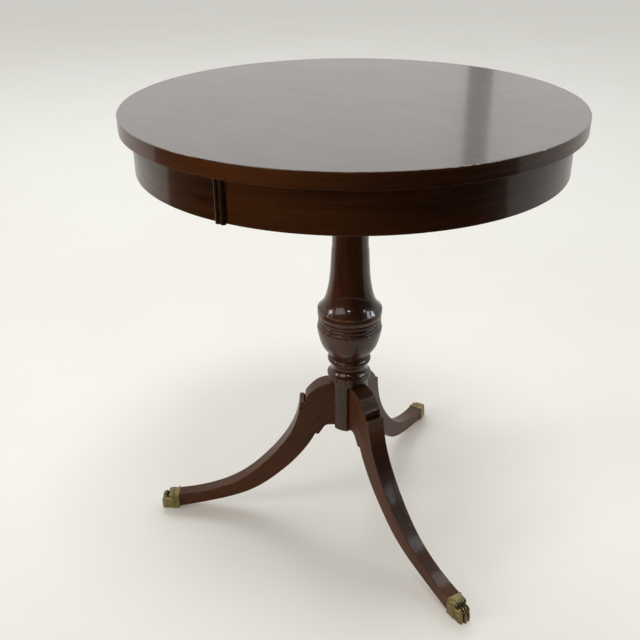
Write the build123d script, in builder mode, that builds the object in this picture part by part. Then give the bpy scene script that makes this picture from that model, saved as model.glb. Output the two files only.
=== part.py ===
"""Round pedestal table: a veneered round top with a deep bent apron, a turned column,
three sabre legs dovetailed into the column's hub, and cast brass paw feet."""

import os
from math import cos, radians, sin, sqrt

from build123d import *

os.makedirs("parts", exist_ok=True)

# ---------------------------------------------------------------- driving dimensions (mm)
table_height = 722.5
top_radius = 330.0
top_thickness = 21.5
veneer_thickness = 1.0
edge_band_thickness = 1.2
top_edge_round = 0.9
top_lower_edge_round = 0.3

apron_overhang = 17.5
apron_depth = 60.5
apron_thickness = 12.0
apron_edge_round = 1.0
seam_azimuth = 237.5
seam_gap = 0.3

reed_radius = 3.7
reed_base = 1.0
reed_below_apron = 0.8

splice_width = 64.0
splice_thickness = 14.0
splice_height = 44.0
glue_block_length = 46.0
glue_block_side = 16.0
glue_block_angles = (25, 68, 112, 155)

bearer_width = 60.0
bearer_thickness = 22.0
bearer_clearance = 0.4
bearer_chamfer = 2.0
mounting_block_radius = 82.0
mounting_block_thickness = 28.0

shaft_radius = 28.3
tenon_radius = 19.0
tenon_end_gap = 0.6
wedge_length = 34.0
wedge_thin = 0.8
wedge_thick = 2.6

hub_radius = 31.0
hub_bottom = 174.5
hub_top = 267.6
leg_seat_radius = 24.0
leg_seat_top = 260.0
leg_seat_bottom = 179.0
dovetail_depth = 11.0
dovetail_neck = 11.0
dovetail_root = 17.0
dovetail_top = 244.0
dovetail_play = 0.1

leg_azimuths = {"left": 180.0, "front": 300.0, "back": 60.0}
knee_thickness = 30.0
ankle_thickness = 23.0
knee_end = 85.0
ankle_start = 235.0
leg_end = 302.0
leg_edge_round = 1.3
side_blend_radius = 1500.0

paw_reach = 335.5
paw_width = 25.5
paw_height = 30.5
cuff_length = 4.0
cuff_wall = 1.7
cuff_corner = 2.0
cuff_bottom = 1.6
cuff_top = 32.4
toe_tenon_end = 323.0
toe_tenon_width = 18.0
toe_tenon_bottom = 3.5
toe_groove_radius = 1.2
toe_groove_slope = 28.0

plate_thickness = 2.0
plate_arm_reach = 24.0
plate_arm_width = 15.0

screw_shank = 2.2
screw_head = 4.2
screw_head_height = 2.4
bearer_screw_places = (-250.0, -130.0, 130.0, 250.0)
bearer_screw_bite = 12.0
block_screw_circle = 62.0
block_screw_bite = 16.0
plate_screw_circle = 17.0
plate_screw_length = 18.0
paw_screw_reach = 312.0
paw_screw_length = 14.0

# ---------------------------------------------------------------- derived places
top_underside = table_height - top_thickness
core_top = table_height - veneer_thickness
core_radius = top_radius - edge_band_thickness
apron_radius = top_radius - apron_overhang
apron_inner = apron_radius - apron_thickness
apron_bottom = top_underside - apron_depth
bearer_bottom = top_underside - bearer_thickness
column_shoulder = bearer_bottom - mounting_block_thickness
tenon_end = top_underside - tenon_end_gap
dovetail_end = leg_seat_radius - dovetail_depth
bearer_azimuths = {"main": seam_azimuth + 45, "cross": seam_azimuth + 135}
bearer_half_length = sqrt(apron_inner**2 - (bearer_width / 2) ** 2) - bearer_clearance


def radial_plane(azimuth):
    """Upright plane through the table's axis: local x runs outwards, local y runs up."""
    a = radians(azimuth)
    return Plane(origin=(0, 0, 0), x_dir=(cos(a), sin(a), 0), z_dir=(sin(a), -cos(a), 0))


def level_plane(azimuth, height=0.0):
    """Horizontal plane at a height, with local x running outwards at an azimuth."""
    a = radians(azimuth)
    return Plane(origin=(0, 0, height), x_dir=(cos(a), sin(a), 0), z_dir=(0, 0, 1))


def cross_plane(azimuth, reach):
    """Upright plane square to an azimuth: local x runs sideways, local y runs up."""
    a = radians(azimuth)
    origin = (reach * cos(a), reach * sin(a), 0)
    return Plane(origin=origin, x_dir=(-sin(a), cos(a), 0), z_dir=(cos(a), sin(a), 0))


def save(piece, label):
    piece.label = label
    export_step(piece, f"parts/{label}.step")


# ---------------------------------------------------------------- screws
def make_screws(azimuths, places, head_height, length):
    """Upright countersunk screws, heads down, at each radial place on each azimuth."""
    with BuildPart() as screws:
        for azimuth in azimuths:
            with Locations(level_plane(azimuth, head_height)):
                with Locations(*[(x, 0, screw_head_height / 2) for x in places]):
                    Cone(screw_head, screw_shank, screw_head_height)
                shank = length - screw_head_height
                with Locations(*[(x, 0, screw_head_height + shank / 2) for x in places]):
                    Cylinder(screw_shank, shank)
    return screws.part


bearer_screws = make_screws(
    bearer_azimuths.values(), bearer_screw_places, bearer_bottom, bearer_thickness + bearer_screw_bite
)
block_screws = make_screws(
    bearer_azimuths.values(),
    (-block_screw_circle, block_screw_circle),
    column_shoulder,
    mounting_block_thickness + block_screw_bite,
)
plate_screws = make_screws(
    [azimuth + 60 for azimuth in leg_azimuths.values()],
    (plate_screw_circle,),
    hub_bottom - plate_thickness,
    plate_screw_length,
)
paw_screws = make_screws(leg_azimuths.values(), (paw_screw_reach,), 0.0, paw_screw_length)

# ---------------------------------------------------------------- top
with BuildPart() as top_core:
    with BuildSketch(Plane.XY.offset(top_underside)):
        Circle(core_radius)
    extrude(amount=core_top - top_underside)
    add(bearer_screws, mode=Mode.SUBTRACT)

with BuildPart() as top_edge_band:
    with BuildSketch(Plane.XY.offset(top_underside)):
        Circle(top_radius)
        Circle(core_radius, mode=Mode.SUBTRACT)
    extrude(amount=core_top - top_underside)
    outer_rims = top_edge_band.edges().filter_by(GeomType.CIRCLE).group_by(SortBy.RADIUS)[-1]
    fillet(outer_rims.sort_by(Axis.Z)[0], top_lower_edge_round)

with BuildPart() as top_veneer:
    with BuildSketch(Plane.XY.offset(core_top)):
        Circle(top_radius)
    extrude(amount=veneer_thickness)
    fillet(top_veneer.edges().group_by(Axis.Z)[-1], top_edge_round)


# ---------------------------------------------------------------- apron
def make_apron_half(seam):
    """Half of the bent apron ring, clockwise from the seam at an azimuth."""
    with BuildPart() as half:
        with BuildSketch(level_plane(seam, apron_bottom)):
            Circle(apron_radius)
            Circle(apron_inner, mode=Mode.SUBTRACT)
            with Locations((0, top_radius - seam_gap / 2)):
                Rectangle(2 * top_radius, 2 * top_radius, mode=Mode.SUBTRACT)
        extrude(amount=apron_depth)
        lower_rims = half.edges().filter_by(GeomType.CIRCLE).group_by(Axis.Z)[0]
        fillet(lower_rims, apron_edge_round)
    return half.part


def make_seam_strip(azimuth):
    """Double-reeded strip that covers a seam of the apron."""
    strip_height = apron_depth + reed_below_apron
    with BuildPart() as strip:
        with BuildSketch(level_plane(azimuth, top_underside - strip_height)):
            with Locations((apron_radius + reed_base / 2, 0)):
                Rectangle(2 * reed_base, 4 * reed_radius)
            with Locations(*[(apron_radius + reed_base, s * reed_radius) for s in (-1, 1)]):
                Circle(reed_radius)
            Circle(apron_radius, mode=Mode.SUBTRACT)
        extrude(amount=strip_height)
    return strip.part


def make_splice_block(azimuth):
    """Block glued inside the apron behind a seam."""
    with BuildPart() as block:
        with BuildSketch(level_plane(azimuth, top_underside - splice_height)):
            with Locations((apron_inner - splice_thickness / 2, 0)):
                Rectangle(splice_thickness, splice_width)
            Circle(apron_inner, mode=Mode.INTERSECT)
        extrude(amount=splice_height)
    return block.part


with BuildPart() as glue_blocks:
    for side in (0, 180):
        for angle in glue_block_angles:
            corner = level_plane(seam_azimuth + side + angle, top_underside - glue_block_side)
            with BuildSketch(corner):
                with Locations((apron_inner - glue_block_side / 2, 0)):
                    Rectangle(glue_block_side, glue_block_length)
                Circle(apron_inner, mode=Mode.INTERSECT)
            extrude(amount=glue_block_side)


# ---------------------------------------------------------------- bearers and mounting block
def make_bearer(azimuth, lap_height):
    """Bearer under the top, halved at a height where the two bearers cross."""
    with BuildPart() as bearer:
        with BuildSketch(level_plane(azimuth, bearer_bottom)):
            Rectangle(2 * bearer_half_length, bearer_width)
        extrude(amount=bearer_thickness)
        chamfer(bearer.edges().filter_by(Axis.Z), bearer_chamfer)
        with BuildSketch(level_plane(azimuth, lap_height)):
            Rectangle(bearer_width, bearer_width)
        extrude(amount=bearer_thickness / 2, mode=Mode.SUBTRACT)
        with BuildSketch(level_plane(azimuth, bearer_bottom)):
            Circle(tenon_radius)
        extrude(amount=bearer_thickness, mode=Mode.SUBTRACT)
        add([bearer_screws, block_screws], mode=Mode.SUBTRACT)
    return bearer.part


with BuildPart() as mounting_block:
    with BuildSketch(level_plane(bearer_azimuths["main"], column_shoulder)):
        Circle(mounting_block_radius)
        Circle(tenon_radius, mode=Mode.SUBTRACT)
    extrude(amount=mounting_block_thickness)
    block_rims = mounting_block.edges().filter_by(GeomType.CIRCLE).group_by(SortBy.RADIUS)[-1]
    chamfer(block_rims.sort_by(Axis.Z)[0], bearer_chamfer)
    add(block_screws, mode=Mode.SUBTRACT)

# ---------------------------------------------------------------- column
with BuildPart() as tenon_wedge:
    with BuildSketch(radial_plane(bearer_azimuths["main"])):
        with BuildLine():
            Polyline(
                (-wedge_thin / 2, tenon_end - wedge_length),
                (wedge_thin / 2, tenon_end - wedge_length),
                (wedge_thick / 2, tenon_end),
                (-wedge_thick / 2, tenon_end),
                close=True,
            )
        make_face()
    extrude(amount=tenon_radius, both=True)
    with BuildSketch(Plane.XY.offset(tenon_end - wedge_length)):
        Circle(tenon_radius)
    extrude(amount=wedge_length, mode=Mode.INTERSECT)


def bead(low, high, swell):
    """Arc of a turned bead or cove between two profile points, bulging outwards by swell."""
    middle = ((low[0] + high[0]) / 2 + swell, (low[1] + high[1]) / 2)
    return ThreePointArc(low, middle, high)


with BuildPart() as column:
    with BuildSketch(Plane.XZ):
        with BuildLine():
            # hub and its beaded collar
            Polyline((0, hub_bottom), (30.0, hub_bottom), (hub_radius, hub_bottom + 1))
            Polyline((hub_radius, hub_bottom + 1), (hub_radius, hub_top), (33.0, hub_top + 0.4))
            bead((33.0, hub_top + 0.4), (34.0, 271.0), 1.2)
            bead((34.0, 271.0), (34.9, 274.0), 1.2)
            bead((34.9, 274.0), (35.2, 277.6), 1.2)
            # neck and small ring
            Line((35.2, 277.6), (34.2, 278.2))
            Spline((34.2, 278.2), (30.4, 281.6), (27.8, 286.2), (27.4, 291.0), (31.0, 297.2),
                   tangents=((-1, 0.6), (1, 0.7)))
            Line((31.0, 297.2), (31.9, 297.6))
            bead((31.9, 297.6), (33.4, 307.6), 3.0)
            Line((33.4, 307.6), (32.2, 308.6))
            # bowl
            Spline(
                (32.2, 308.6), (38.6, 320), (45.6, 331), (50.2, 346), (52.6, 361.4),
                tangents=((0.3, 1), (0.05, 1)),
            )
            Line((52.6, 361.4), (51.4, 362.6))
            bead((51.4, 362.6), (50.0, 367.6), 1.3)
            bead((50.0, 367.6), (48.8, 374.0), 1.6)
            bead((48.8, 374.0), (50.6, 381.8), 1.5)
            # band and swelling foot of the vase
            bead((50.6, 381.8), (51.2, 393.4), 1.2)
            bead((51.2, 393.4), (51.0, 395.9), 0.9)
            Spline(
                (51.0, 395.9), (47.4, 400.0), (42.2, 407.5), (37.5, 420), (33.6, 440), (31.1, 465),
                (29.5, 495), (shaft_radius, 540),
                tangents=((-0.8, 1), (0, 1)),
            )
            # shaft and its tenon
            Polyline(
                (shaft_radius, 540), (shaft_radius, column_shoulder), (tenon_radius, column_shoulder),
                (tenon_radius, tenon_end), (0, tenon_end), (0, hub_bottom),
            )
        make_face()
    revolve(axis=Axis.Z)
    for azimuth in leg_azimuths.values():
        # flat seat for the leg's shoulder
        with BuildSketch(level_plane(azimuth, hub_bottom)):
            with Locations((leg_seat_radius + hub_radius / 2, 0)):
                Rectangle(hub_radius, 2 * hub_radius)
        extrude(amount=leg_seat_top - hub_bottom, mode=Mode.SUBTRACT)
        # stopped dovetail socket, open at the bottom
        with BuildSketch(level_plane(azimuth, hub_bottom)):
            with BuildLine():
                Polyline(
                    (leg_seat_radius, -dovetail_neck / 2 - dovetail_play),
                    (leg_seat_radius, dovetail_neck / 2 + dovetail_play),
                    (dovetail_end - dovetail_play, dovetail_root / 2 + dovetail_play),
                    (dovetail_end - dovetail_play, -dovetail_root / 2 - dovetail_play),
                    close=True,
                )
            make_face()
        extrude(amount=dovetail_top + dovetail_play - hub_bottom, mode=Mode.SUBTRACT)
    add([tenon_wedge.part, plate_screws], mode=Mode.SUBTRACT)


# ---------------------------------------------------------------- legs
def make_leg(azimuth):
    """Sabre leg with a knee lobe, a lip below it, a dovetail tongue and a toe tenon."""
    lobe_start = (leg_seat_radius, leg_seat_top - 0.4)
    lobe_end = (73.8, 222.6)
    lip_outer = (83.2, 223.6)
    nose_outer = (56.8, 161.4)
    nose_inner = (50.6, 161.6)
    with BuildPart() as leg:
        with BuildSketch(radial_plane(azimuth)):
            with BuildLine():
                Line((leg_seat_radius, leg_seat_bottom), lobe_start)
                Spline(lobe_start, (37.4, 258.6), (49.0, 255.2), (61.4, 246.0), (70.2, 236.0), lobe_end,
                       tangents=((1, 0), (0, -1)))
                Polyline(lobe_end, (73.8, 221.4), (75.4, 223.8), (76.6, 224.8), (81.8, 224.8), lip_outer)
                Spline(lip_outer, (85.6, 205.0), (92.0, 181.0), (110.0, 145.8), (146.0, 101.4),
                       (191.0, 63.6), (246.0, 40.2), (leg_end, paw_height - 0.3))
                Line((leg_end, paw_height - 0.3), (leg_end, 4.4))
                Spline((leg_end, 4.4), (258.0, 13.2), (205.0, 27.2), (164.0, 45.2), (129.0, 71.5),
                       (98.0, 101.6), (72.0, 135.0), nose_outer)
                Line(nose_outer, nose_inner)
                Spline(nose_inner, (45.6, 169.6), (34.0, leg_seat_bottom), tangents=((-0.45, 1), (-1, 0)))
                Line((34.0, leg_seat_bottom), (leg_seat_radius, leg_seat_bottom))
            make_face()
        extrude(amount=knee_thickness / 2, both=True)
        # the sides taper from knee to ankle
        with BuildSketch(level_plane(azimuth)):
            with BuildLine():
                near_side = FilletPolyline(
                    (0, knee_thickness / 2), (knee_end, knee_thickness / 2),
                    (ankle_start, ankle_thickness / 2), (paw_reach, ankle_thickness / 2),
                    radius=side_blend_radius,
                )
                far_side = mirror(near_side, about=Plane.XZ)
                Line(near_side @ 0, far_side @ 0)
                Line(near_side @ 1, far_side @ 1)
            make_face()
        extrude(amount=table_height / 2, mode=Mode.INTERSECT)
        long_edges = leg.edges().filter_by(Axis.Z, reverse=True).filter_by(lambda e: e.length > 30)
        fillet(long_edges, leg_edge_round)
        # small bead where the inner sweep ends
        with BuildSketch(radial_plane(azimuth)):
            with BuildLine():
                ThreePointArc(nose_outer, (53.6, 159.7), nose_inner)
                Line(nose_inner, nose_outer)
            make_face()
        extrude(amount=knee_thickness / 2, both=True)
        # dovetail tongue
        with BuildSketch(level_plane(azimuth, hub_bottom)):
            with BuildLine():
                Polyline(
                    (leg_seat_radius, -dovetail_neck / 2), (leg_seat_radius, dovetail_neck / 2),
                    (dovetail_end, dovetail_root / 2), (dovetail_end, -dovetail_root / 2), close=True,
                )
            make_face()
        extrude(amount=dovetail_top - hub_bottom)
        # toe tenon inside the brass paw
        with BuildSketch(radial_plane(azimuth)):
            with BuildLine():
                Polyline(
                    (leg_end, toe_tenon_bottom + 2), (leg_end, paw_height - 4), (314.0, paw_height - 5),
                    (toe_tenon_end, 16.0), (toe_tenon_end, toe_tenon_bottom), (308.0, toe_tenon_bottom),
                    close=True,
                )
            make_face()
        extrude(amount=toe_tenon_width / 2, both=True)
        add(paw_screws, mode=Mode.SUBTRACT)
    return leg.part


# ---------------------------------------------------------------- paws
def make_paw(azimuth, leg):
    """Hollow cast paw: a cuff with a rim, a knuckled instep and four clawed toes."""
    half_width = paw_width / 2
    with BuildPart() as paw:
        # side outline
        with BuildSketch(radial_plane(azimuth)):
            with BuildLine():
                Polyline((leg_end, 2.6), (leg_end, paw_height))
                Line((leg_end, paw_height), (317.0, 29.4))
                ThreePointArc((317.0, 29.4), (320.8, 27.4), (322.4, 23.4))
                ThreePointArc((322.4, 23.4), (327.6, 22.2), (331.0, 18.4))
                ThreePointArc((331.0, 18.4), (335.3, 9.0), (334.2, 0.0))
                Polyline((334.2, 0.0), (306.0, 0.0), (leg_end, 2.6))
            make_face()
        extrude(amount=half_width, both=True)
        # plan outline
        with BuildSketch(level_plane(azimuth)):
            with BuildLine():
                Line((leg_end, half_width - 1.2), (leg_end, -half_width + 1.2))
                Spline((leg_end, -half_width + 1.2), (316.0, -half_width), (328.0, -half_width + 1.6),
                       (paw_reach, 0), (328.0, half_width - 1.6), (316.0, half_width),
                       (leg_end, half_width - 1.2))
            make_face()
        extrude(amount=table_height / 2, mode=Mode.INTERSECT)
        # grooves between the toes
        with Locations(level_plane(azimuth)):
            with Locations(*[(paw_reach + 1, y, 10.0) for y in (-half_width / 2, 0, half_width / 2)]):
                Cylinder(
                    toe_groove_radius, 2 * paw_height, rotation=(0, -toe_groove_slope, 0), mode=Mode.SUBTRACT
                )
        # rim round the open end
        with BuildSketch(cross_plane(azimuth, leg_end)):
            with Locations((0, (cuff_bottom + cuff_top) / 2)):
                RectangleRounded(ankle_thickness + 2 * cuff_wall, cuff_top - cuff_bottom, cuff_corner)
        extrude(amount=cuff_length)
        add([leg, paw_screws], mode=Mode.SUBTRACT)
    return paw.part


# ---------------------------------------------------------------- plate under the hub
with BuildPart() as brace_plate:
    with BuildSketch(Plane.XY.offset(hub_bottom - plate_thickness)):
        Circle(plate_arm_width / 2)
        for azimuth in leg_azimuths.values():
            for turn in (0, 60):
                a = radians(azimuth + turn)
                reach = plate_arm_reach
                with Locations(Location((reach / 2 * cos(a), reach / 2 * sin(a)), azimuth + turn)):
                    SlotOverall(reach + plate_arm_width / 2, plate_arm_width)
    extrude(amount=plate_thickness)
    add(plate_screws, mode=Mode.SUBTRACT)

# ---------------------------------------------------------------- export
save(top_core.part, "top_core")
save(top_edge_band.part, "top_edge_band")
save(top_veneer.part, "top_veneer")
save(make_apron_half(seam_azimuth), "apron_half_left")
save(make_apron_half(seam_azimuth - 180), "apron_half_right")
save(make_seam_strip(seam_azimuth), "seam_strip_front")
save(make_seam_strip(seam_azimuth - 180), "seam_strip_back")
save(make_splice_block(seam_azimuth), "splice_block_front")
save(make_splice_block(seam_azimuth - 180), "splice_block_back")
save(glue_blocks.part, "glue_blocks")
save(make_bearer(bearer_azimuths["main"], bearer_bottom + bearer_thickness / 2), "bearer_main")
save(make_bearer(bearer_azimuths["cross"], bearer_bottom), "bearer_cross")
save(mounting_block.part, "mounting_block")
save(column.part, "column")
save(tenon_wedge.part, "tenon_wedge")
save(brace_plate.part, "brace_plate")
save(bearer_screws, "bearer_screws")
save(block_screws, "block_screws")
save(plate_screws, "plate_screws")
save(paw_screws, "paw_screws")
for name, azimuth in leg_azimuths.items():
    leg = make_leg(azimuth)
    save(leg, f"leg_{name}")
    save(make_paw(azimuth, leg), f"paw_{name}")
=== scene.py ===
"""Looks of the round pedestal table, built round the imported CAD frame. Metres, +Z up."""

from math import cos, radians, sin

import bmesh
import bpy
from mathutils import Euler, Matrix, Vector


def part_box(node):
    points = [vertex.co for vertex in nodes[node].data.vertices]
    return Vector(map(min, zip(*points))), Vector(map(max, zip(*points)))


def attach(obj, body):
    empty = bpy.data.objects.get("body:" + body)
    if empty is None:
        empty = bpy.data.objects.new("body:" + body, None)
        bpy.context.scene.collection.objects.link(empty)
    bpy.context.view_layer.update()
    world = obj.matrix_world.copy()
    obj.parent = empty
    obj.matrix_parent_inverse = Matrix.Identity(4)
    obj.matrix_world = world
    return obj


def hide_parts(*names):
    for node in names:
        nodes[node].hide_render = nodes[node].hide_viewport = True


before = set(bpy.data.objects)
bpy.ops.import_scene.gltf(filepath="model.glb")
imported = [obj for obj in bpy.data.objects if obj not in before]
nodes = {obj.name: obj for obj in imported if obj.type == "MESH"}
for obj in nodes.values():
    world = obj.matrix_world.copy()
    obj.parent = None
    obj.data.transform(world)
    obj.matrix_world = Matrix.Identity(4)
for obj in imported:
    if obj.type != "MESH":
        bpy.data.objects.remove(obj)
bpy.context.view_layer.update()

# ------------------------------------------------------------------ places
top_low, top_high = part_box("top_veneer")
paw_low, paw_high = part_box("paw_left")
top_radius = (top_high.x - top_low.x) / 2

# azimuths in degrees, anticlockwise from +x
leg_azimuths = {"left": 180, "front": 300, "back": 60}
seam_azimuth = 237.5
grain_azimuth = 140
# height of the arris at the foot of the vase, where the finish has worn to a line
vase_arris_height = 0.3952

# ------------------------------------------------------------------ colours
deep_brown = (0.018, 0.0054, 0.0018)
warm_brown = (0.172, 0.054, 0.0135)
rubbed_brown = (0.26, 0.115, 0.045)
scuffed_brown = (0.24, 0.13, 0.075)
dent_brown = (0.22, 0.13, 0.08)
rust_brown = (0.13, 0.055, 0.025)
rubbed_brass = (0.80, 0.70, 0.42)
brass_dirt = (0.016, 0.011, 0.005)
warm_light = (1.0, 0.90, 0.78)
soft_light = (1.0, 0.98, 0.95)
cool_light = (0.86, 0.93, 1.0)


def scaled(colour, factor):
    return tuple(factor * part for part in colour)


# ------------------------------------------------------------------ node graph helper
class Graph:
    """A material's node tree, with one short call for each kind of node."""

    def __init__(self, name):
        self.material = bpy.data.materials.new(name)
        self.material.use_nodes = True
        self.tree = self.material.node_tree
        self.tree.nodes.clear()

    def feed(self, socket, value):
        """Links a socket to another one, or sets it to a plain value."""
        if isinstance(value, bpy.types.NodeSocket):
            self.tree.links.new(value, socket)
        else:
            socket.default_value = value

    def add(self, kind, values=None, **settings):
        """A node of a kind, with values for its sockets and settings of its own."""
        made = self.tree.nodes.new("ShaderNode" + kind)
        for key, value in settings.items():
            setattr(made, key, value)
        for key, value in (values or {}).items():
            self.feed(made.inputs[key], value)
        return made

    def math(self, operation, *values, clamp=False):
        made = self.add("Math", dict(enumerate(values)), operation=operation, use_clamp=clamp)
        return made.outputs[0]

    def position(self):
        return self.add("TexCoord").outputs["Object"]

    def split(self, vector):
        made = self.add("SeparateXYZ", {0: vector})
        return made.outputs[0], made.outputs[1], made.outputs[2]

    def join(self, x, y, z):
        return self.add("CombineXYZ", {0: x, 1: y, 2: z}).outputs[0]

    def mapped(self, vector, scale=(1, 1, 1), rotation=(0, 0, 0), location=(0, 0, 0)):
        values = {"Vector": vector, "Scale": scale, "Rotation": rotation, "Location": location}
        return self.add("Mapping", values).outputs[0]

    def noise(self, vector, scale, detail, roughness, distortion=0.0):
        values = {
            "Vector": vector, "Scale": scale, "Detail": detail, "Roughness": roughness,
            "Distortion": distortion,
        }
        return self.add("TexNoise", values).outputs["Fac"]

    def streaks(self, place, along, across, detail, roughness, distortion=0.0):
        """Noise in grain coordinates, with so many features to the metre along and across."""
        stretched = self.mapped(place, scale=(along, across, across))
        return self.noise(stretched, 1.0, detail, roughness, distortion)

    def between(self, value, low, high, to_low=0.0, to_high=1.0):
        """Smooth step from to_low to to_high as the value goes from low to high."""
        values = {0: value, 1: low, 2: high, 3: to_low, 4: to_high}
        return self.add("MapRange", values, interpolation_type="SMOOTHSTEP").outputs[0]

    def ramp(self, factor, stops):
        made = self.add("ValToRGB", {0: factor})
        elements = made.color_ramp.elements
        while len(elements) < len(stops):
            elements.new(0.5)
        for element, (place, colour) in zip(elements, stops):
            element.position = place
            element.color = (*colour, 1.0)
        return made.outputs[0]

    def mix(self, factor, first, second):
        """Blend of two colours, by the Mix node's colour sockets: 6 and 7 in, 2 out."""
        made = self.add("Mix", {0: factor}, data_type="RGBA", blend_type="MIX")
        for index, colour in ((6, first), (7, second)):
            self.feed(made.inputs[index], (*colour, 1.0) if isinstance(colour, tuple) else colour)
        return made.outputs[2]

    def bump(self, height, distance, strength=1.0, normal=None):
        values = {"Height": height, "Distance": distance, "Strength": strength}
        if normal is not None:
            values["Normal"] = normal
        return self.add("Bump", values).outputs[0]

    def edges(self, radius, low, high):
        """1 on arrises within a radius, 0 on open faces."""
        soft = self.add("Bevel", {"Radius": radius}, samples=4).outputs[0]
        flat = self.add("NewGeometry").outputs["Normal"]
        facing = self.add("VectorMath", {0: soft, 1: flat}, operation="DOT_PRODUCT").outputs["Value"]
        return self.between(self.math("SUBTRACT", 1.0, facing), low, high)

    def finish(self, colour, roughness, normal, **values):
        """The surface shader; the other values go to its sockets of the same names."""
        shader = self.add("BsdfPrincipled")
        for key, value in {"Base Color": colour, "Roughness": roughness, "Normal": normal}.items():
            self.feed(shader.inputs[key], value)
        for key, value in values.items():
            self.feed(shader.inputs[key.replace("_", " ")], value)
        if values.get("Coat_Weight"):
            self.tree.links.new(normal, shader.inputs["Coat Normal"])
        self.tree.links.new(shader.outputs[0], self.add("OutputMaterial").inputs[0])
        return self.material


# ------------------------------------------------------------------ grain directions
def straight_grain(azimuth, slope=0.0, shift=0.0):
    """Grain coordinates of a board: x runs along the grain, which climbs at a slope."""
    def place(g):
        turned = g.mapped(g.position(), rotation=(0, 0, -radians(azimuth)))
        return g.mapped(turned, rotation=(0, radians(slope), 0), location=(shift, shift / 3, shift / 7))
    return place


def bent_grain(seam, radius, shift=0.0):
    """Grain coordinates of bent wood: x runs round the axis, measured clear of the seam."""
    def place(g):
        x, y, z = g.split(g.mapped(g.position(), rotation=(0, 0, -radians(seam + 180))))
        angle = g.math("ARCTAN2", y, x)
        reach = g.math("SQRT", g.math("ADD", g.math("MULTIPLY", x, x), g.math("MULTIPLY", y, y)))
        along = g.math("ADD", g.math("MULTIPLY", angle, radius), shift)
        return g.join(along, g.math("ADD", z, shift), reach)
    return place


def upright_grain(shift=0.0):
    """Grain coordinates of turned or upright wood: x runs up the piece, whose pith is off its axis."""
    pith_x, pith_y = 0.013, 0.021

    def place(g):
        x, y, z = g.split(g.position())
        return g.join(g.math("ADD", z, shift), g.math("ADD", x, pith_x + shift), g.math("ADD", y, pith_y))
    return place


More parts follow.
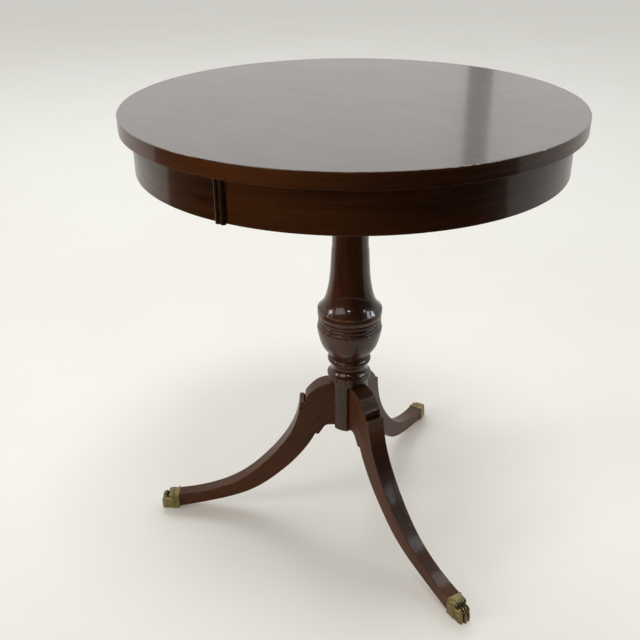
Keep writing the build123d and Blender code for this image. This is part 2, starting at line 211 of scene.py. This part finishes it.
# ------------------------------------------------------------------ materials
def mahogany(
    name, grain, dark, light, figure=1.0, wear=0.6, coat=0.5, coat_roughness=0.10, dents=0.5,
    ripple_depth=0.00010, scuffs=0.0, craze=0.0, worn_line=None, painted_top_shade=0.0,
):
    """Stained and lacquered mahogany: broad tone, ribbon figure, pores, worn arrises, dust and dents.

    worn_line is the height of a worn line, scuffs the strength of scuffed patches on the upper faces, craze
    the depth of fine cracks in the lacquer, and the last argument how much painted shade darkens the upper
    faces.
    """
    g = Graph(name)
    place = grain(g)
    middle = tuple((a + b) / 2 for a, b in zip(dark, light))

    # broad patches and streaks along the grain
    broad = g.streaks(place, 2.2, 9, 3.0, 0.55, 0.6)
    ribbon = g.streaks(place, 6, 130, 4.0, 0.6, 0.35)
    fibre = g.streaks(place, 28, 900, 3.0, 0.65)
    tone = g.math("ADD", g.math("MULTIPLY", broad, 0.62), g.math("MULTIPLY", ribbon, 0.38))
    tone = g.math("ADD", tone, g.math("MULTIPLY", g.math("SUBTRACT", fibre, 0.5), 0.30))
    darkest, lightest = 0.5 - 0.20 / figure, 0.5 + 0.22 / figure
    colour = g.ramp(tone, [(max(darkest, 0.0), dark), (0.50, middle), (min(lightest, 1.0), light)])

    # painted shade: the upper faces are darkened where they face up
    facing_up = g.between(g.split(g.add("NewGeometry").outputs["Normal"])[2], 0.15, 0.45)
    if painted_top_shade:
        colour = g.mix(g.math("MULTIPLY", facing_up, painted_top_shade), colour, scaled(middle, 0.25))

    # open pores, short dark dashes along the grain
    pore = g.between(g.streaks(place, 130, 2600, 2.0, 0.6), 0.60, 0.68)
    colour = g.mix(g.math("MULTIPLY", pore, 0.5), colour, scaled(dark, 0.35))

    # worn arrises, broken up by a coarse noise
    rub = g.noise(g.position(), 60.0, 4.0, 0.7)
    worn = g.math("MULTIPLY", g.edges(0.0026, 0.006, 0.10), g.between(rub, 0.40, 0.60))
    if worn_line:
        height = g.split(g.position())[2]
        off = g.math("ABSOLUTE", g.math("SUBTRACT", height, worn_line))
        line = g.math("MULTIPLY", g.between(off, 0.0007, 0.0002), g.between(rub, 0.35, 0.50))
        worn = g.math("MAXIMUM", worn, line)
    colour = g.mix(g.math("MULTIPLY", worn, wear), colour, rubbed_brown)

    # scuffed finish in patches on the upper faces, as where shoes rub
    patch = g.between(g.streaks(place, 9, 30, 2.0, 0.5), 0.46, 0.62)
    speckle = g.between(g.streaks(place, 160, 420, 3.0, 0.7), 0.55, 0.68)
    scuff = g.math("MULTIPLY", g.math("MULTIPLY", patch, speckle), facing_up)
    colour = g.mix(g.math("MULTIPLY", scuff, scuffs), colour, scuffed_brown)

    # small dents and dust specks, in a few of the cells
    specks = g.add("TexVoronoi", {"Vector": g.position(), "Scale": 75.0}, distance="EUCLIDEAN")
    chance = g.add("TexWhiteNoise", {"Vector": specks.outputs["Position"]}, noise_dimensions="3D")
    chosen = g.math("GREATER_THAN", chance.outputs["Value"], 0.93)
    dent = g.math("MULTIPLY", g.between(specks.outputs["Distance"], 0.07, 0.03), chosen)
    colour = g.mix(g.math("MULTIPLY", dent, dents), colour, dent_brown)

    # smudges and wear change the gloss
    smudge = g.streaks(place, 7, 11, 4.0, 0.6, 0.8)
    gloss = g.math("ADD", 0.38, g.math("MULTIPLY", g.math("SUBTRACT", smudge, 0.5), 0.20))
    gloss = g.math("ADD", gloss, g.math("MULTIPLY", worn, 0.2), clamp=True)

    # lacquer settles into the pores and ripples slightly across the grain
    normal = g.bump(g.streaks(place, 12, 55, 2.0, 0.5), ripple_depth)
    if craze:
        cracks = g.streaks(place, 90, 210, 2.0, 0.6)
        normal = g.bump(g.math("MULTIPLY", cracks, g.math("ADD", patch, 0.35)), craze, 1.0, normal)
    normal = g.bump(g.math("SUBTRACT", fibre, g.math("MULTIPLY", pore, 1.5)), 0.00002, 0.6, normal)
    normal = g.bump(g.math("SUBTRACT", g.math("MULTIPLY", scuff, scuffs), dent), 0.0003, 0.5, normal)
    return g.finish(
        colour, gloss, normal, Coat_Weight=coat, Coat_Roughness=coat_roughness, Specular_IOR_Level=0.12)


def plain_wood(name, grain, dark, light):
    """Unfinished secondary wood: saw-smooth, matt, with darker pores and grime."""
    g = Graph(name)
    place = grain(g)
    streak = g.streaks(place, 4, 120, 5.0, 0.6, 0.4)
    fibre = g.streaks(place, 40, 1100, 3.0, 0.6)
    tone = g.math("ADD", g.math("MULTIPLY", streak, 0.7), g.math("MULTIPLY", fibre, 0.3))
    colour = g.ramp(tone, [(0.32, dark), (0.68, light)])
    grime = g.between(g.noise(g.position(), 18.0, 4.0, 0.6), 0.5, 0.75)
    colour = g.mix(g.math("MULTIPLY", grime, 0.35), colour, scaled(dark, 0.4))
    return g.finish(colour, 0.72, g.bump(fibre, 0.00012, 0.7), Specular_IOR_Level=0.3)


def aged_brass(name):
    """Cast brass with an olive brown patina, dirt in the hollows and rubbed highs."""
    g = Graph(name)
    cloud = g.noise(g.position(), 140.0, 4.0, 0.6)
    high = g.edges(0.0012, 0.01, 0.16)
    hollow = g.add("AmbientOcclusion", {"Distance": 0.006}, samples=6, only_local=True).outputs["AO"]
    patina = g.ramp(cloud, [
        (0.30, (0.130, 0.098, 0.036)),
        (0.55, (0.24, 0.190, 0.082)),
        (0.75, (0.38, 0.31, 0.15)),
    ])
    colour = g.mix(g.math("MULTIPLY", high, 0.65), patina, rubbed_brass)
    colour = g.mix(g.between(hollow, 0.90, 0.45), colour, brass_dirt)
    rough = g.math("ADD", 0.42, g.math("MULTIPLY", g.math("SUBTRACT", cloud, 0.5), 0.35))
    rough = g.math("SUBTRACT", rough, g.math("MULTIPLY", high, 0.2), clamp=True)
    grit = g.noise(g.position(), 1500.0, 3.0, 0.6)
    normal = g.bump(g.math("ADD", cloud, g.math("MULTIPLY", grit, 0.4)), 0.00018, 0.6)
    return g.finish(colour, rough, normal, Metallic=g.between(hollow, 0.45, 0.85, 0.2, 0.95))


def dull_steel(name, colour):
    """Plain steel of screws and plates, dulled and a little rusty."""
    g = Graph(name)
    cloud = g.noise(g.position(), 260.0, 4.0, 0.65)
    rust = g.between(cloud, 0.56, 0.72)
    mixed = g.mix(g.math("MULTIPLY", rust, 0.6), colour, rust_brown)
    rough = g.math("ADD", 0.38, g.math("MULTIPLY", rust, 0.35))
    return g.finish(mixed, rough, g.bump(cloud, 0.0001, 0.5), Metallic=0.85)


def dress(node, material):
    """Gives a CAD node one material, on every slot it has."""
    slots = nodes[node].material_slots
    if not slots:
        nodes[node].data.materials.append(material)
    for held in slots:
        held.link = "OBJECT"
        held.material = material


dress("top_veneer", mahogany(
    "mahogany_top_wood", straight_grain(grain_azimuth), (0.034, 0.013, 0.0065), (0.072, 0.030, 0.016),
    figure=0.8, wear=0.4, coat=1.0, dents=0.0, ripple_depth=0.00003))
dress("top_edge_band", mahogany(
    "mahogany_rim_wood", bent_grain(seam_azimuth - 180, top_radius), deep_brown, warm_brown, wear=0.5))
for name, seam, shift in (("left", seam_azimuth, 0.0), ("right", seam_azimuth - 180, 2.7)):
    grain = bent_grain(seam, top_radius, shift)
    dress(f"apron_half_{name}", mahogany(
        f"mahogany_apron_{name}_wood", grain, deep_brown, warm_brown, wear=0.3))
strip_wood = mahogany(
    "mahogany_strip_wood", upright_grain(0.4), deep_brown, (0.110, 0.034, 0.011), wear=1.0, dents=1.0)
dress("seam_strip_front", strip_wood)
dress("seam_strip_back", strip_wood)
dress("column", mahogany(
    "mahogany_turned_wood", upright_grain(), deep_brown, (0.140, 0.041, 0.0110), wear=0.9, coat=0.6,
    coat_roughness=0.05, worn_line=vase_arris_height))
# legs: the last value paints shade onto their upper faces
for name, azimuth in leg_azimuths.items():
    dress(f"leg_{name}", mahogany(
        f"mahogany_leg_{name}_wood", straight_grain(azimuth, -40, azimuth / 90), deep_brown,
        (0.172, 0.054, 0.0150), figure=0.65, wear=1.0, coat=0.11, scuffs=0.9, craze=0.00028, painted_top_shade=0.30))

# secondary wood underneath
dress("top_core", plain_wood(
    "underside_wood", straight_grain(grain_azimuth), (0.16, 0.085, 0.038), (0.36, 0.22, 0.11)))
block_wood = plain_wood(
    "block_wood", straight_grain(seam_azimuth, 0, 0.6), (0.13, 0.07, 0.032), (0.32, 0.19, 0.095))
for name in ("splice_block_front", "splice_block_back", "glue_blocks", "mounting_block", "tenon_wedge"):
    dress(name, block_wood)
for name, azimuth in (("main", seam_azimuth + 45), ("cross", seam_azimuth + 135)):
    dress(f"bearer_{name}", plain_wood(
        f"bearer_{name}_wood", straight_grain(azimuth, 0, 0.3), (0.12, 0.062, 0.028), (0.30, 0.18, 0.09)))

# metal
dress("brace_plate", dull_steel("plate_metal", (0.20, 0.19, 0.175)))
for name in ("bearer_screws", "block_screws", "plate_screws"):
    dress(name, dull_steel(f"{name}_metal", (0.42, 0.40, 0.37)))
brass = aged_brass("paw_brass")
dress("paw_screws", brass)


# ------------------------------------------------------------------ cast paws
def add_block(mesh, near, far, half_near, half_far, low, high, corner):
    """Block from near to far along x, tapering in plan, with rounded edges."""
    corners = []
    for x, half in ((near, half_near), (far, half_far)):
        for y, z in ((-half, low), (half, low), (half, high), (-half, high)):
            corners.append(mesh.verts.new((x, y, z)))
    for face in ((3, 2, 1, 0), (4, 5, 6, 7), (0, 1, 5, 4), (1, 2, 6, 5), (2, 3, 7, 6), (3, 0, 4, 7)):
        mesh.faces.new([corners[i] for i in face])
    edges = [edge for edge in mesh.edges if edge.verts[0] in corners]
    bmesh.ops.bevel(mesh, geom=edges, offset=corner, segments=3, profile=0.5, affect="EDGES")


def add_lobe(mesh, centre, radii, dip=0.0):
    """Egg-shaped lobe whose outer end dips by an angle in degrees."""
    turn = Matrix.Rotation(radians(dip), 4, "Y")
    place = Matrix.Translation(centre) @ turn @ Matrix.Diagonal((*radii, 1))
    bmesh.ops.create_uvsphere(mesh, u_segments=20, v_segments=12, radius=1.0, matrix=place)


def joined_mesh(mesh):
    """The blocks and lobes of a mesh as one closed skin, slightly softened."""
    data = bpy.data.meshes.new("paw_form")
    mesh.to_mesh(data)
    mesh.free()
    form = bpy.data.objects.new("paw_form", data)
    bpy.context.collection.objects.link(form)
    remesh = form.modifiers.new("join", "REMESH")
    remesh.mode = "VOXEL"
    remesh.voxel_size = 0.0004
    smooth = form.modifiers.new("soften", "SMOOTH")
    smooth.factor = 0.5
    smooth.iterations = 1
    skin = bpy.data.meshes.new_from_object(form.evaluated_get(bpy.context.evaluated_depsgraph_get()))
    bpy.data.objects.remove(form)
    return skin


def paw_form():
    """One lion's paw along +x: a rimmed cuff, a row of hair locks, knuckles and three toes."""
    start, reach = -paw_high.x, -paw_low.x
    half_cuff, half_paw, half_toes = paw_high.y, 0.0126, 0.0104
    rim_low, rim_top, rim_length = 0.0016, paw_high.z - 0.0012, 0.0032
    instep_end, instep_top = 0.3185, 0.0300
    toes_start, toes_end, toes_top = 0.312, 0.3298, 0.0226
    mesh = bmesh.new()
    # cuff rim, instep and the block behind the toes
    add_block(mesh, start, start + rim_length, half_cuff, half_cuff, rim_low, rim_top, corner=0.0012)
    add_block(mesh, start + 0.001, instep_end, half_paw, half_paw, 0.0, instep_top, corner=0.0026)
    add_block(mesh, toes_start, toes_end, half_paw, half_toes, 0.0, toes_top, corner=0.0034)
    # hair locks over the instep, then knuckles: the rows sink towards their ends
    for count, spacing, first, x, height, sink, radii, dip in (
        (5, 0.0044, -0.0088, 0.3158, 0.0296, 10, (0.0056, 0.0016, 0.0030), 16),
        (4, 0.0048, -0.0072, 0.3270, 0.0226, 12, (0.0052, 0.0017, 0.0040), 28),
    ):
        for step in range(count):
            across = first + spacing * step
            add_lobe(mesh, (x, across, height - sink * across ** 2), radii, dip)
    # toes, the outer two set back
    toe_radii = (0.0078, 0.0036, 0.0150)
    toe_spacing, toe_height, toe_set_back = 0.0070, 0.0060, 0.0018
    for side in (-1, 0, 1):
        centre_x = reach - toe_radii[0] - toe_set_back * abs(side)
        add_lobe(mesh, (centre_x, toe_spacing * side, toe_height), toe_radii)
    shaped = joined_mesh(mesh)

    # the skin stays inside the cast cap, clear of its screw, with a small pit in each side
    screw_x, screw_recess, recess_depth = 0.312, 0.0042, 0.0008
    pit_x, pit_z, pit_radius, pit_depth, pit_side = 0.3095, 0.018, 0.0013, 0.0008, 0.009
    for point in shaped.vertices:
        x, y, z = point.co
        pit = max(0.0, 1.0 - ((x - pit_x) ** 2 + (z - pit_z) ** 2) ** 0.5 / pit_radius)
        if abs(y) > pit_side:
            y -= pit_depth * pit * (1 if y > 0 else -1)
        sole = recess_depth if ((x - screw_x) ** 2 + y * y) ** 0.5 < screw_recess else 0.0
        x = min(max(x, start), reach)
        y = min(max(y, -half_cuff), half_cuff)
        point.co = (x, y, min(max(z, sole), rim_top))
    return shaped


paw_shape = paw_form()
for name, azimuth in leg_azimuths.items():
    data = paw_shape.copy()
    data.transform(Matrix.Rotation(radians(azimuth), 4, "Z"))
    data.materials.append(brass)
    for face in data.polygons:
        face.use_smooth = True
    paw = bpy.data.objects.new(f"cast_paw_{name}", data)
    bpy.context.collection.objects.link(paw)
    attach(paw, "root")
    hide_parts(f"paw_{name}")


# ------------------------------------------------------------------ stage, light, camera
def stage_piece(name, corners, faces, material):
    """A flat piece of the stage, which isn't part of the object."""
    mesh = bpy.data.meshes.new(name)
    mesh.from_pydata(corners, [], faces)
    piece = bpy.data.objects.new(name, mesh)
    bpy.context.collection.objects.link(piece)
    piece.data.materials.append(material)
    return piece


def stage_floor():
    """A pale painted floor with a faint glow, clear from below so that the underside can be looked at."""
    g = Graph("floor_paint")
    cloud = g.noise(g.position(), 1.6, 5.0, 0.6)
    scuff = g.between(g.noise(g.mapped(g.position(), scale=(1, 1.6, 1)), 42.0, 3.0, 0.7), 0.68, 0.76)
    colour = g.ramp(cloud, [(0.3, (0.775, 0.775, 0.745)), (0.7, (0.82, 0.82, 0.80))])
    colour = g.mix(g.math("MULTIPLY", scuff, 0.05), colour, (0.5, 0.47, 0.42))
    g.finish(
        colour, 0.55, g.bump(cloud, 0.0005, 0.3), Specular_IOR_Level=0.3,
        Emission_Color=(1.0, 0.94, 0.82, 1.0), Emission_Strength=0.18)
    painted = next(n for n in g.tree.nodes if n.type == "BSDF_PRINCIPLED")
    output = next(n for n in g.tree.nodes if n.type == "OUTPUT_MATERIAL")
    below = g.add("NewGeometry").outputs["Backfacing"]
    clear = g.add("BsdfTransparent").outputs[0]
    open_below = g.add("MixShader", {0: below, 1: painted.outputs[0], 2: clear})
    g.tree.links.new(open_below.outputs[0], output.inputs[0])
    half = 14.0
    corners = [(-half, -half, 0), (half, -half, 0), (half, half, 0), (-half, half, 0)]
    stage_piece("studio_floor", corners, [(0, 1, 2, 3)], g.material)


def dark_card():
    """A dark cloth ring round the front of the table, which only the table's sides see from above."""
    g = Graph("dark_cloth")
    cloth = g.add("BsdfDiffuse", {"Color": (0.004, 0.0036, 0.0034, 1.0)}).outputs[0]
    clear = g.add("BsdfTransparent").outputs[0]
    below = g.add("NewGeometry").outputs["Backfacing"]
    shader = g.add("MixShader", {0: below, 1: cloth, 2: clear})
    g.tree.links.new(shader.outputs[0], g.add("OutputMaterial").inputs[0])
    inner, outer, lift = 0.76, 7.0, 0.003
    first, last, steps = 168, 345, 35
    corners, faces = [], []
    for step in range(steps + 1):
        turn = radians(first + (last - first) * step / steps)
        for radius in (inner, outer):
            corners.append((radius * cos(turn), radius * sin(turn), lift))
    for step in range(steps):
        faces.append((2 * step, 2 * step + 1, 2 * step + 3, 2 * step + 2))
    card = stage_piece("dark_card", corners, faces, g.material)
    card.visible_camera = False
    card.visible_shadow = False


def dark_post():
    """A narrow dark upright behind the table, mirrored as a soft strip in the polished top."""
    g = Graph("dark_post_paint")
    paint = g.add("BsdfDiffuse", {"Color": (0.02, 0.016, 0.014, 1.0)}).outputs[0]
    clear = g.add("BsdfTransparent").outputs[0]
    clearness = 0.35
    shader = g.add("MixShader", {0: clearness, 1: paint, 2: clear})
    g.tree.links.new(shader.outputs[0], g.add("OutputMaterial").inputs[0])
    left, right, depth, height = 0.715, 0.835, 3.0, 3.0
    corners = [(left, depth, 0.0), (right, depth, 0.0), (right, depth, height), (left, depth, height)]
    post = stage_piece("dark_post", corners, [(0, 1, 2, 3)], g.material)
    post.visible_camera = False
    post.visible_shadow = False
    post.visible_diffuse = False


def softbox(name, place, target, size, power, colour, glossy=False):
    """A lamp that lights surfaces, or if glossy, one that is only seen mirrored in them."""
    data = bpy.data.lights.new(name, "AREA")
    data.shape = "RECTANGLE"
    data.size, data.size_y = size
    data.energy = power
    data.color = colour
    lamp = bpy.data.objects.new(name, data)
    lamp.location = place
    lamp.rotation_euler = (Vector(target) - Vector(place)).to_track_quat("-Z", "Y").to_euler()
    lamp.visible_glossy = glossy
    lamp.visible_diffuse = not glossy
    bpy.context.collection.objects.link(lamp)


def surroundings():
    """A pale room: bright behind the table and brighter with height, dark in front; a plain backdrop."""
    world = bpy.data.worlds.new("studio")
    bpy.context.scene.world = world
    world.use_nodes = True
    tree = world.node_tree
    tree.nodes.clear()
    place = tree.nodes.new("ShaderNodeTexCoord")
    parts = tree.nodes.new("ShaderNodeSeparateXYZ")
    # brightness by height, then faded by depth from the dark front
    rise = tree.nodes.new("ShaderNodeMapRange")
    depth = tree.nodes.new("ShaderNodeMapRange")
    low_light, high_light, front_light = 0.76, 1.22, 0.03
    for node, low, high, to_low in ((rise, 0.17, 0.36, low_light), (depth, 0.0, 0.50, front_light)):
        node.inputs["From Min"].default_value = low
        node.inputs["From Max"].default_value = high
        node.inputs["To Min"].default_value = to_low
    rise.inputs["To Max"].default_value = high_light
    light = tree.nodes.new("ShaderNodeBackground")
    light.inputs["Color"].default_value = (0.985, 0.985, 0.97, 1.0)
    backdrop = tree.nodes.new("ShaderNodeBackground")
    backdrop.inputs["Color"].default_value = (0.74, 0.75, 0.74, 1.0)
    seen = tree.nodes.new("ShaderNodeLightPath")
    choice = tree.nodes.new("ShaderNodeMixShader")
    output = tree.nodes.new("ShaderNodeOutputWorld")
    for source, target in (
        (place.outputs["Generated"], parts.inputs[0]),
        (parts.outputs["Z"], rise.inputs["Value"]),
        (parts.outputs["Y"], depth.inputs["Value"]),
        (rise.outputs[0], depth.inputs["To Max"]),
        (depth.outputs[0], light.inputs["Strength"]),
        (seen.outputs["Is Camera Ray"], choice.inputs[0]),
        (light.outputs[0], choice.inputs[1]),
        (backdrop.outputs[0], choice.inputs[2]),
        (choice.outputs[0], output.inputs[0]),
    ):
        tree.links.new(source, target)


def camera():
    """The photograph's viewpoint: angles in degrees, place in metres."""
    down, pan, roll = 27.35, -0.63, -0.42
    place = (-0.0614, -1.2278, 1.0068)
    data = bpy.data.cameras.new("camera")
    data.sensor_width = 36.0
    data.lens = 48.11
    eye = bpy.data.objects.new("camera", data)
    aim = Euler((radians(90 - down), 0, radians(pan))).to_matrix()
    turn = aim @ Matrix.Rotation(radians(roll), 3, "Z")
    eye.matrix_world = Matrix.Translation(place) @ turn.to_4x4()
    bpy.context.collection.objects.link(eye)
    bpy.context.scene.camera = eye


stage_floor()
dark_card()
dark_post()
surroundings()
for name, place, target, size, power, colour in (
    ("key", (-5.0, -2.2, 4.4), (0, 0, 0.4), (1.8, 1.8), 32, warm_light),
    ("left", (-5.2, -1.5, 1.8), (0, 0, 0.4), (1.8, 1.4), 80, warm_light),
    ("back", (-0.6, 3.0, 3.2), (0, 0, 0.4), (1.6, 1.2), 32, (0.90, 0.96, 1.0)),
    ("overhead", (0.3, -0.8, 4.6), (0.2, -0.4, 0), (1.6, 1.2), 58, (1.0, 0.985, 0.95)),
):
    softbox(name, place, target, size, power, colour)
# small room lamps, seen only as highlights on the bulb, the beads, the legs and the brass
for name, place, size, power, colour in (
    ("low_a", (-2.27, -0.10, 1.66), (0.55, 0.50), 14, soft_light),
    ("low_b", (-1.62, -1.60, 1.75), (1.60, 1.30), 24, soft_light),
    ("low_c", (-0.25, -2.27, 1.67), (0.25, 0.25), 5.5, (1.0, 0.90, 0.75)),
    ("low_d", (2.23, -0.42, 1.95), (0.40, 0.80), 10, (0.95, 0.98, 1.0)),
    ("low_e", (2.25, 0.24, 1.66), (0.45, 0.40), 10, (0.80, 0.92, 1.0)),
    ("high_a", (1.99, -1.03, 1.50), (0.30, 0.30), 3.5, cool_light),
    ("high_b", (1.61, -0.02, 2.54), (0.50, 0.50), 10, cool_light),
    ("high_c", (1.05, 1.15, 2.63), (0.35, 0.35), 5.0, (0.90, 0.95, 1.0)),
):
    softbox(name, place, (0, 0, 0.3), size, power, colour, glossy=True)
camera()
bpy.context.scene.view_settings.view_transform = "Standard"
